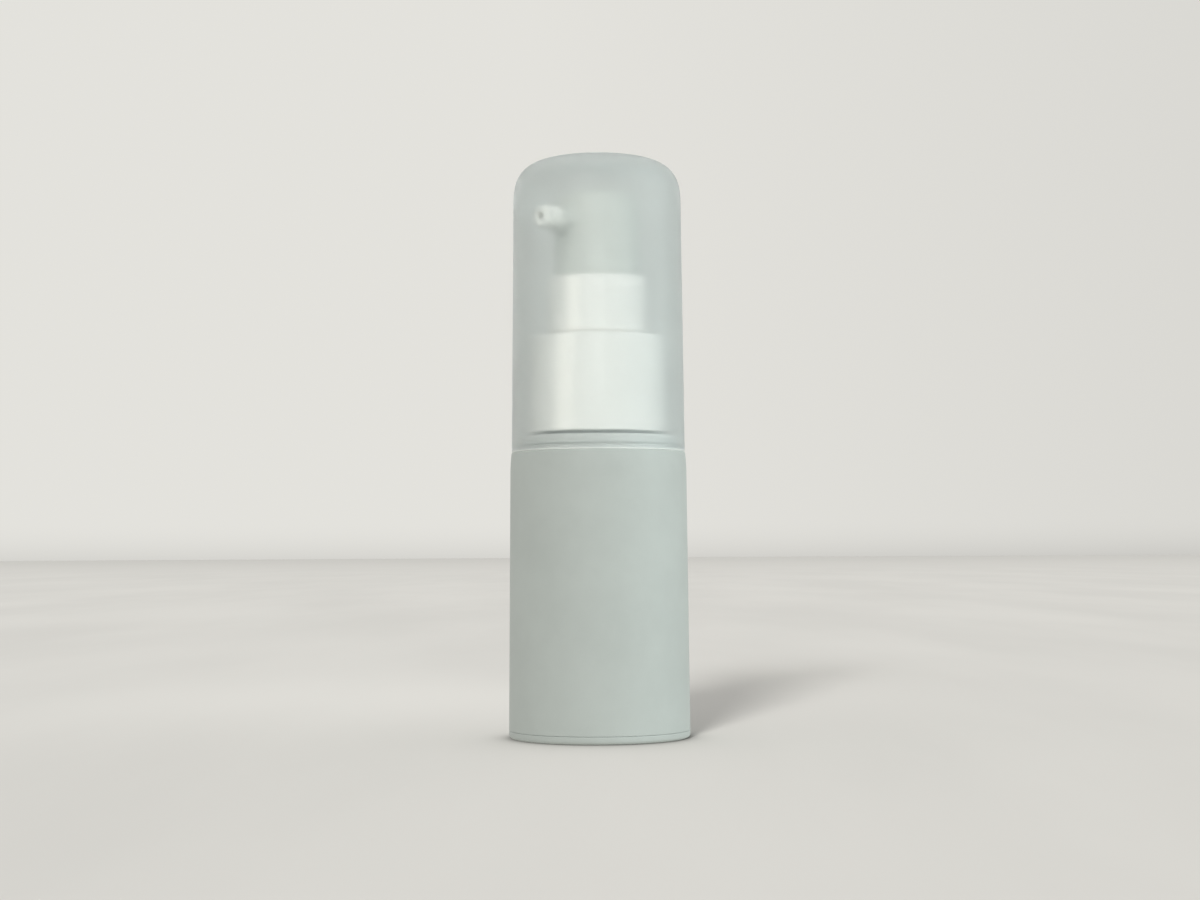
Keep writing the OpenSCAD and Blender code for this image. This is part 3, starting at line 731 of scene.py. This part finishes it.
grip = block("grip rib", (CLOSURE_R - SINK, -GRIP_RIB_W / 2, CLOSURE_Z + 0.6),
             (CLOSURE_R + GRIP_RIB_H, GRIP_RIB_W / 2, PLATE_TOP - 0.6))
grip_ribs = ring_of_copies("grip ribs", grip, white_moulding, GRIP_RIBS)
place(grip_ribs, "closure", "white_moulding")

closure_thread = coil("closure thread", white_moulding, CLOSURE_BORE_R + THREAD_ROOT,
                      CLOSURE_THREAD_Z, CLOSURE_THREAD_Z + THREAD_RISE, THREAD_TURNS, 0.7, 0.42,
                      **THREAD_FORM)
place(closure_thread, "closure", "white_moulding")

gasket = lathe("neck_seal", rounded([
    (GASKET_BORE_R, NECK_TOP, 0.1), (GASKET_R, NECK_TOP, 0.1), (GASKET_R, GASKET_TOP, 0.1),
    (GASKET_BORE_R, GASKET_TOP, 0.1)]), gasket_pe)
place(gasket, "pump", "gasket_pe", "neck_gasket")

# %% [markdown]
# ## Button and nozzle
#
# The button is a hollow cap with a softly domed top. The barrel of the spout grows out of its side
# with a small fillet, as a mould gives it. The barrel is turned as a separate outline that flares
# at its root, and then each of its points is slid along the spout, so that the root follows the
# button's round side. Boolean modifiers weld the pieces, because the real button is one moulding,
# and cut the channel.


# %% Button
def welded(obj, others, cut, material):
    """One closed mesh out of several that run into each other, less what is cut away."""
    for other, how in [(o, "UNION") for o in others] + [(o, "DIFFERENCE") for o in cut]:
        modifier = obj.modifiers.new(how, "BOOLEAN")
        modifier.operation, modifier.solver, modifier.object = how, "EXACT", other
    plain(obj)
    for other in others + cut:
        bpy.data.objects.remove(other)
    return finish_mesh(obj, material, 30)


FINE = 96
edge_z = BUTTON_TOP - BUTTON_DOME_H
inner_r = BUTTON_R - BUTTON_WALL
outer_dome = dome_points(edge_z, BUTTON_R - BUTTON_DRAFT, BUTTON_DOME_H, BUTTON_POWER, 36)
inner_dome = dome_points(edge_z, inner_r - BUTTON_DRAFT, BUTTON_DOME_H - BUTTON_WALL,
                         BUTTON_POWER, 24)
skirt = rounded([(inner_r - BUTTON_DRAFT, edge_z, 0), (inner_r, BUTTON_FOOT, 0.25),
                 (BUTTON_R, BUTTON_FOOT, 0.2), (BUTTON_R - BUTTON_DRAFT, edge_z, 0)])
button = lathe("button_shell", skirt[:-1] + outer_dome + inner_dome[:0:-1])
post = lathe("post", rounded([
    (STEM_R + 0.02, POST_Z, 0.15), (SPRING_FOOT_R, POST_Z, 0.2), (SPRING_FOOT_R, POST_Z + 1, 0.1),
    (POST_R, POST_Z + 2.4, 0.2), (POST_R, BUTTON_TOP - 0.5, 0), (0, BUTTON_TOP - 0.5, 0),
    (0, SPOUT_Z, 0), (STEM_BORE_R, SPOUT_Z, 0), (STEM_BORE_R, STEM_TOP, 0),
    (STEM_R + 0.02, STEM_TOP, 0)]), segments=FINE)

ROOT_FILLET, ROOT_DEPTH, FILLET_STEPS = 0.7, 0.6, 8
barrel_outline = [(0, -ROOT_DEPTH), (BARREL_R + ROOT_FILLET, -ROOT_DEPTH)]
for step in range(FILLET_STEPS + 1):
    angle = math.pi / 2 * step / FILLET_STEPS
    barrel_outline.append((BARREL_R + ROOT_FILLET * (1 - math.sin(angle)),
                           ROOT_FILLET * (1 - math.cos(angle)) - 0.02))
out = BARREL_END - BUTTON_R
mouth = rounded([(0, out, 0), (0, 0, 0), (BARREL_R, ROOT_FILLET, 0), (BARREL_R, out, 0.4)])
barrel_outline += mouth[3:] + [(0, out)]  # its first three points only steer the rounding
barrel = lathe("barrel", barrel_outline, segments=FINE, along="-y", height=SPOUT_Z)
for vertex in barrel.data.vertices:
    x, stand_out = vertex.co.x / MM, -vertex.co.y / MM
    follow = min(max((out - stand_out) / (out - 0.2), 0.0), 1.0)
    side = math.sqrt(max(BUTTON_R ** 2 - x ** 2, 0.0))
    vertex.co.y = -(stand_out + BUTTON_R + (side - BUTTON_R) * follow) * MM
channel = lathe("channel", [(0, 0), (CHANNEL_R, 0), (CHANNEL_R, 12), (0, 12)], segments=FINE,
                along="-y", height=SPOUT_Z)
welded(button, [post, barrel], [channel], sage_button)
place(button, "button", "sage_button", "actuator")

# %% [markdown]
# The nozzle is a pale insert pushed into the barrel. Only its rounded tip shows, as the bright spot
# beside the button.

# %% Nozzle insert
nozzle = lathe("nozzle_tip", rounded([
    (ORIFICE_R, NOZZLE_FOOT, 0.08), (NOZZLE_SHANK_R, NOZZLE_FOOT, 0.2),
    (NOZZLE_SHANK_R, BARREL_END, 0), (NOZZLE_R, BARREL_END, 0.08),
    (NOZZLE_R, NOZZLE_REACH, NOZZLE_ROUND), (ORIFICE_R, NOZZLE_REACH, 0.25)], steps=8),
    nozzle_white, segments=FINE, along="-y", height=SPOUT_Z)
place(nozzle, "button", "white_moulding", "nozzle_insert")

# %% [markdown]
# ## Pump engine
#
# Inside are the parts that do the work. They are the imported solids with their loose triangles
# merged into one skin, so that round faces shade round and each has the finish of its own plastic.
# The spring is swept anew along its helix with a round wire. At both ends it runs nearly flat for
# over half a turn, so that it stands square on its seats, as a real compression spring does.


# %% Inner mouldings
def skinned(node, name, material, body, slot):
    """A merged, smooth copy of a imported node."""
    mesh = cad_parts[node].data.copy()
    face_outwards(mesh, SAME_PLACE)
    mesh.name = name
    obj = finish_mesh(new_object(name, mesh), material, 25)
    return place(obj, body, slot, node)


skinned("pump_housing", "pump_cylinder", natural_pe, "pump", "natural_pe")
skinned("housing_cap", "stem_guide", white_moulding, "pump", "white_moulding")
skinned("pump_stem", "stem_tube", natural_pe, "stem", "natural_pe")
skinned("stem_plug", "valve_plug", white_moulding, "stem", "white_moulding")
skinned("pump_piston", "pump_seal", natural_pe, "piston", "natural_pe")
skinned("inlet_ball", "valve_ball", spring_steel, "ball", "spring_steel")
skinned("follower_piston", "follower_disc", natural_pe, "follower", "natural_pe")

# %% Return spring
spring = coil("spring_wire", spring_steel, SPRING_MEAN_R, SPRING_LOW, SPRING_HIGH, SPRING_TURNS,
              WIRE_R, WIRE_R, (500, 14), flat_ends=0.12, taper=0.0012)
place(spring, "pump", "spring_steel", "return_spring")
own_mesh(spring)

# %% [markdown]
# ## Over-cap
#
# The cap's outside is the rule of a squared ellipse on a drafted side. Geometry Nodes bend a flat
# grid into it: the first part of the grid climbs the side and the rest runs over the dome. A
# Solidify modifier then gives the wall its 1.2 mm, inwards, and a Bevel rounds the rim. Six short
# pips inside the rim snap under the bead of the seat band. They are joined to the wall by a
# boolean, since see-through pieces that only overlap show their hidden faces.

# %% Over-cap and its pips
tree = Grower("over cap")
edge_r = tree.size("Edge radius", CAP_EDGE_R)
foot_z = tree.size("Foot height", SHOULDER_Z)
dome_z = tree.size("Dome height above foot", DOME_Z)
dome_h = tree.size("Dome rise", DOME_H)
power = tree.size("Squareness", DOME_POWER)
lean = tree.size("Draft", math.tan(CAP_DRAFT))
sheet, around, up = tree.sheet(SEGMENTS, 120)
SIDE_SHARE = 0.35
climb = tree.math("MINIMUM", up / SIDE_SHARE, 1.0)
bend = tree.math("MAXIMUM", (up - SIDE_SHARE) / (1 - SIDE_SHARE), 0.0)
closer = bend * 2.0 - 1.0
sign = tree.math("SIGN", closer)
polar = (1.0 + sign * tree.math("ABSOLUTE", closer) ** CROWD) * (math.pi / 4)
cosine = tree.math("MAXIMUM", tree.math("COSINE", polar), 0.0)
sine = tree.math("MAXIMUM", tree.math("SINE", polar), 0.0)
size = (cosine ** power + sine ** power) ** (-1.0 / power)
radius = (edge_r - (dome_z - foot_z) * lean * climb) * cosine * size
z = foot_z + (dome_z - foot_z) * climb + dome_h * sine * size
angle = around * (2 * math.pi)
cap = tree.grow(tree.placed(sheet, radius * tree.math("COSINE", angle),
                            radius * tree.math("SINE", angle), z), frosted_cap)
wall = cap.modifiers.new("wall", "SOLIDIFY")
wall.thickness, wall.offset, wall.use_even_offset = CAP_WALL * MM, -1.0, True
wall.use_quality_normals = True
rim = cap.modifiers.new("rim", "BEVEL")
rim.width, rim.segments, rim.limit_method = EDGE_ROUND * MM, 4, "ANGLE"
rim.angle_limit = math.radians(60)
plain(cap)

wall_r = CAP_EDGE_R - CAP_WALL + 0.1
pip_points = rounded([(wall_r, PIP_Z, 0), (PIP_R, PIP_Z + 0.3, 0.1),
                      (PIP_R, PIP_Z + 0.6, 0.1), (wall_r, PIP_Z + PIP_H, 0)], steps=3)
PIP_STEPS = 8
bm = bmesh.new()
rows = []
for step in range(PIP_STEPS + 1):
    t = step / PIP_STEPS
    ends = min(1.0, 6 * min(t, 1 - t) + 0.15)
    turn = PIP_ARC * (t - 0.5)
    rows.append([bm.verts.new(((wall_r + (r - wall_r) * ends) * MM * math.cos(turn),
                               (wall_r + (r - wall_r) * ends) * MM * math.sin(turn), z * MM))
                 for r, z in pip_points])
for low, high in zip(rows, rows[1:]):
    for k in range(len(pip_points)):
        n = (k + 1) % len(pip_points)
        bm.faces.new((low[k], low[n], high[n], high[k]))
bm.faces.new(rows[0])
bm.faces.new(rows[-1])
pips = ring_of_copies("cap pips", from_bmesh("pip", bm), frosted_cap, PIPS,
                      math.radians(180 / PIPS))
welded(cap, [pips], [], frosted_cap)
cap.name = "over_cap_shell"
place(cap, "cap", "frosted_cap", "over_cap")

# %% [markdown]
# ## Camera
#
# The photograph was taken from a little above the foot, with the bottle's top leaning away by a
# hair. The camera's place was worked out from the ellipses of the rings. It looks slightly up and
# is rolled by a third of a degree.

# %% Camera
VIEW_AZIMUTH, VIEW_DISTANCE, EYE_HEIGHT, LENS = 49.0, 0.416, 0.0356, 65.25
PAN, TILT, ROLL = -0.045, 2.63, -0.31


def stand(azimuth, distance, height):
    """A place round the bottle. The spout points to azimuth 0, and azimuth 49 is the camera's."""
    angle = math.radians(azimuth)
    return Vector((distance * math.sin(angle), -distance * math.cos(angle), height))


camera = new_object("camera", bpy.data.cameras.new("camera"))
camera.data.sensor_width, camera.data.lens = 36.0, LENS
camera.data.clip_start, camera.data.clip_end = 0.01, 100.0
camera.matrix_world = (Matrix.Translation(stand(VIEW_AZIMUTH, VIEW_DISTANCE, EYE_HEIGHT))
                       @ Matrix.Rotation(math.radians(VIEW_AZIMUTH + PAN), 4, "Z")
                       @ Matrix.Rotation(math.radians(90 + TILT), 4, "X")
                       @ Matrix.Rotation(math.radians(ROLL), 4, "Z"))
bpy.context.scene.camera = camera
print("camera at", [round(v, 3) for v in camera.location])

# %% [markdown]
# ## Floor, backdrop and light
#
# A wide pale floor runs to a soft horizon and the world behind it is a plain pale wall. The wall's
# colour is seen by the camera, by gloss and through the cap, while the light that the world gives
# is set apart from it, so that the backdrop never has to be brightened to light the object. The
# floor's clouds are stretched away from the camera, or perspective would squeeze them to streaks.
# A painted pool of light makes it a little brighter to the left behind the bottle, painted shade
# darkens it towards the horizon, and a painted contact shadow makes it darker close round the foot,
# where a foot keeps the light of the room off the floor.
#
# The main light is low and from the left of the camera, which throws the soft shadow back to the
# right. A wide soft panel on the right fills the bottle's right side, a narrow warm strip on the
# left draws the gleam down the white sleeve, a soft head light brings up what is under the cap,
# and a faint top light keeps the dome from going dull.


# %% Floor
FLOOR_R, FLOOR_COLOUR, CLOUDS_MM, STRETCH = 9.7, (0.64, 0.632, 0.605), 100.0, 5.0
# The POOL values place the painted pool of light, and the CONTACT values set the painted contact
# shadow.
POOL_AZIMUTH, POOL_DISTANCE, POOL_MM, POOL_SHARE = VIEW_AZIMUTH + 196, 0.115, 75, 0.55
SOFT_CONTACT, SOFT_MM, CLOSE_CONTACT, CLOSE_MM = 0.26, 5, 0.45, 1.1
BLACK = (0.0, 0.0, 0.0, 1.0)


def pale_floor(name, colour, clouds_mm):
    """A plain painted floor: faint clouds, a painted pool of light, painted shade towards the
    horizon, and a painted contact shadow round the foot.
    """
    material, tree, where = new_material(name)
    stretched = tree.add("ShaderNodeMapping", {"vector_type": "TEXTURE"}, {
        "Vector": where, "Rotation": (0.0, 0.0, math.radians(VIEW_AZIMUTH)),
        "Scale": (1.0, STRETCH, 1.0)}).outputs[0]
    clouds = tree.noise(stretched, clouds_mm, 4.0)
    x, y, _ = tree.apart(where)
    r = (x * x + y * y) ** 0.5
    far = tree.smooth(r, 0.8, 9.0)
    tint = tree.mix(0.5 + (tree.smooth(clouds, 0.3, 0.7) - 0.5) * (1.0 - far) ** 3,
                    [c * 0.965 for c in colour] + [1.0], [c * 1.03 for c in colour] + [1.0])
    # Painted light: a soft pool of light to the left behind the bottle.
    px, py, _ = (v / MM for v in stand(POOL_AZIMUTH, POOL_DISTANCE, 0))
    painted_pool = tree.math("POWER", 0.5, ((x / MM - px) ** 2 + (y / MM - py) ** 2) / POOL_MM ** 2)
    tint = tree.mix(painted_pool * POOL_SHARE, tint, [c * 1.16 for c in colour] + [1.0])
    # Painted shade: the floor darkens towards the horizon.
    tint = tree.mix(far * 0.14, tint, BLACK)
    # Painted contact shadow: darker close round the foot, most on the camera's side, and seen only
    # by camera rays.
    fx, fy, _ = stand(VIEW_AZIMUTH, 1.0, 0)
    gap = tree.math("MAXIMUM", r / MM - BODY_R, 0.0)
    side = (0.5 + 0.5 * (x * fx + y * fy) / r) ** 3
    painted_contact_shadow = (SOFT_CONTACT * side * tree.math("POWER", 0.5, gap / SOFT_MM)
               + CLOSE_CONTACT * tree.math("POWER", 0.5, gap / CLOSE_MM))
    seen = Num(tree, tree.add("ShaderNodeLightPath").outputs["Is Camera Ray"])
    tint = tree.mix(painted_contact_shadow * seen, tint, BLACK)
    shader = tree.add("ShaderNodeBsdfPrincipled", sockets={
        "Base Color": tint, "Roughness": 0.8, "Specular IOR Level": 0.1})
    tree.add("ShaderNodeOutputMaterial", sockets={"Surface": shader.outputs[0]})
    return material


bm = bmesh.new()
bmesh.ops.create_circle(bm, cap_ends=True, segments=128, radius=FLOOR_R)
floor = from_bmesh("floor", bm)
floor.data.materials.append(pale_floor("pale_floor", FLOOR_COLOUR, CLOUDS_MM))
print("floor ready")

# %% World
WALL, AMBIENT = (0.775, 0.765, 0.725), 0.61
HORIZON_DROP, HORIZON_SPREAD, HORIZON_SHADE, SIDE_SHADE = 0.004, 0.018, 0.14, 0.3
world = bpy.data.worlds.new("studio")
bpy.context.scene.world = world
tree = emptied(world)
x, y, z = tree.apart(tree.add("ShaderNodeTexCoord").outputs["Generated"])
right = math.radians(VIEW_AZIMUTH)
across = x * math.cos(right) + y * math.sin(right)
horizon = tree.math("ABSOLUTE", z + HORIZON_DROP) / HORIZON_SPREAD
horizon = tree.math("MAXIMUM", 1.0 - horizon, 0.0)
across = tree.math("MINIMUM", tree.math("MAXIMUM", across, -0.03), 0.3)
shade = 0.985 - across * SIDE_SHADE - horizon * horizon * HORIZON_SHADE
backdrop = tree.add("ShaderNodeVectorMath", {"operation": "SCALE"},
                    {0: WALL, "Scale": shade}).outputs[0]
path = tree.add("ShaderNodeLightPath").outputs
seen = tree.math("MAXIMUM", tree.math("MAXIMUM", Num(tree, path["Is Camera Ray"]),
                                      Num(tree, path["Is Glossy Ray"])),
                 Num(tree, path["Is Transmission Ray"]))
behind = tree.add("ShaderNodeBackground", sockets={"Color": backdrop, "Strength": 1.0}).outputs[0]
around_it = tree.add("ShaderNodeBackground", sockets={
    "Color": (1.0, 0.995, 0.98, 1.0), "Strength": AMBIENT}).outputs[0]
both = tree.add("ShaderNodeMixShader", sockets={0: seen, 1: around_it, 2: behind}).outputs[0]
tree.add("ShaderNodeOutputWorld", sockets={"Surface": both})
print("world ready")

# %% Lamps
KEY, FLOOR_KEY, FILL, STRIP, HEAD, TOP = 0.66, 3.0, 10.8, 9.5, 2.8, 1.0
SUNLIGHT, WARM = (1.0, 0.99, 0.97), (1.0, 0.94, 0.84)
COOL, FAINTLY_GREEN = (0.86, 0.97, 1.0), (0.97, 1.0, 0.98)
AIM_HEIGHT = 0.055
AIM = Vector((0.0, 0.0, AIM_HEIGHT))


def lamp(name, kind, azimuth, distance, height, strength, **settings):
    """A lamp that looks at the middle of the bottle."""
    data = bpy.data.lights.new(name, kind)
    data.energy = strength
    for key, value in settings.items():
        setattr(data, key, value)
    obj = new_object(name, data)
    where = stand(azimuth, distance, height)
    obj.matrix_world = (Matrix.Translation(where)
                        @ (AIM - where).to_track_quat("-Z", "Y").to_matrix().to_4x4())
    return obj


def sun(name, azimuth, elevation, wide, strength):
    """A lamp from far away, at an elevation and with an angular width in degrees."""
    height = AIM_HEIGHT + math.tan(math.radians(elevation))
    return lamp(name, "SUN", azimuth, 1.0, height, strength, angle=math.radians(wide),
                color=SUNLIGHT)


sun("key", VIEW_AZIMUTH - 16, 24, 12, KEY)
floor_key = sun("floor_key", VIEW_AZIMUTH - 13.3, 22.5, 11, FLOOR_KEY)
fill = lamp("right_fill", "AREA", VIEW_AZIMUTH + 68, 1.0, 0.25, FILL, shape="RECTANGLE",
            size=1.4, size_y=1.6, color=COOL)
strip = lamp("strip", "AREA", VIEW_AZIMUTH - 58, 0.7, 0.10, STRIP, shape="RECTANGLE", size=0.4,
             size_y=0.7, color=WARM)
top = lamp("top", "AREA", VIEW_AZIMUTH + 10, 0.05, 1.1, TOP, shape="DISK", size=0.6)
head = lamp("head_light", "AREA", VIEW_AZIMUTH + 5, 0.9, 0.3, HEAD, shape="RECTANGLE", size=0.5,
            size_y=0.5, color=FAINTLY_GREEN)
print("key", KEY, "and floor key", FLOOR_KEY)

# %% [markdown]
# Some of the lamps are flagged, as a photographer would with black card. The strip only puts its
# gleam on the satin sleeve, the fill and the top light stay on the outside, the head light is for
# the sleeve, the button and the nozzle, and the floor gets a key of its own, in which the bottle
# still throws its shadow. Light linking does that with a collection of receivers.


# %% Flags
def only_on(light, name, pieces):
    """The lamp lights only these pieces."""
    receivers = bpy.data.collections.new(name)
    for piece in pieces:
        receivers.objects.link(piece)
    light.light_linking.receiver_collection = receivers


only_on(fill, "outside", [bottle, base, cap])
only_on(top, "shell_only", [bottle, base, cap])
only_on(floor_key, "floor_only", [floor])
only_on(head, "head_only", [sleeve, button, nozzle])
only_on(strip, "sleeve_only", [sleeve])
strip.visible_diffuse = False
bpy.context.scene.view_settings.view_transform = "Standard"
print("lamps:", len(bpy.data.lights))
